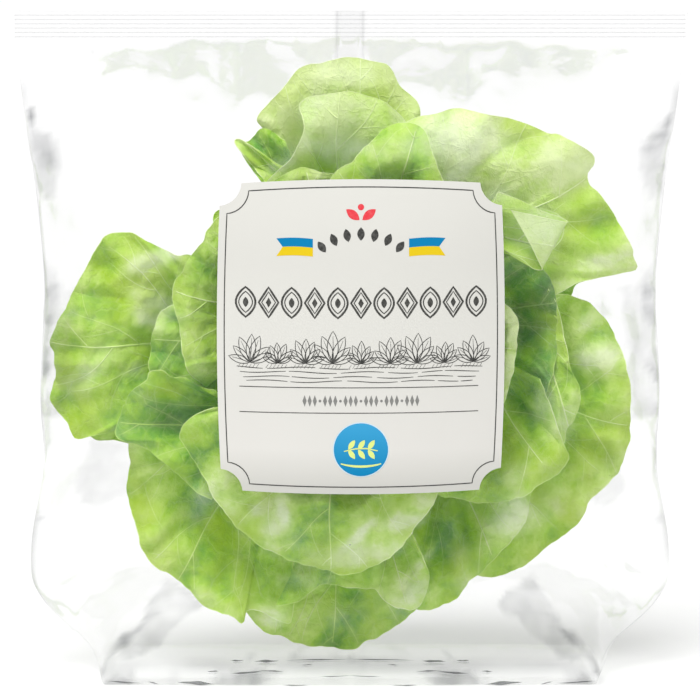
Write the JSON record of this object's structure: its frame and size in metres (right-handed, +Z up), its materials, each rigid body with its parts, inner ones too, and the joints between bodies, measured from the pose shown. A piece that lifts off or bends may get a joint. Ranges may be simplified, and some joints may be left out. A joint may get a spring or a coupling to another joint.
{
  "type": "pack of butterhead lettuce",
  "caption": "Clear flow-wrapped bag of butterhead lettuce, standing on a squared-off base, flat-welded across the top, with a paper label with hollow corners on its front.",
  "frame": {"origin": "on the floor under the middle of the pack: the centre of the bounding box's bottom face, which lies in the flat base", "axes": "+Z up, -Y out of the front with the label, +X to the right as seen from the front, along the weld"},
  "size_m": [0.251, 0.0884, 0.248],
  "materials": {
    "film": "thin clear film, glossy and lightly crumpled, over light yellow-green leaves",
    "label_paper": null
  },
  "bodies": {
    "root": {"bag": "film", "label": "label_paper"}
  },
  "joints": []
}
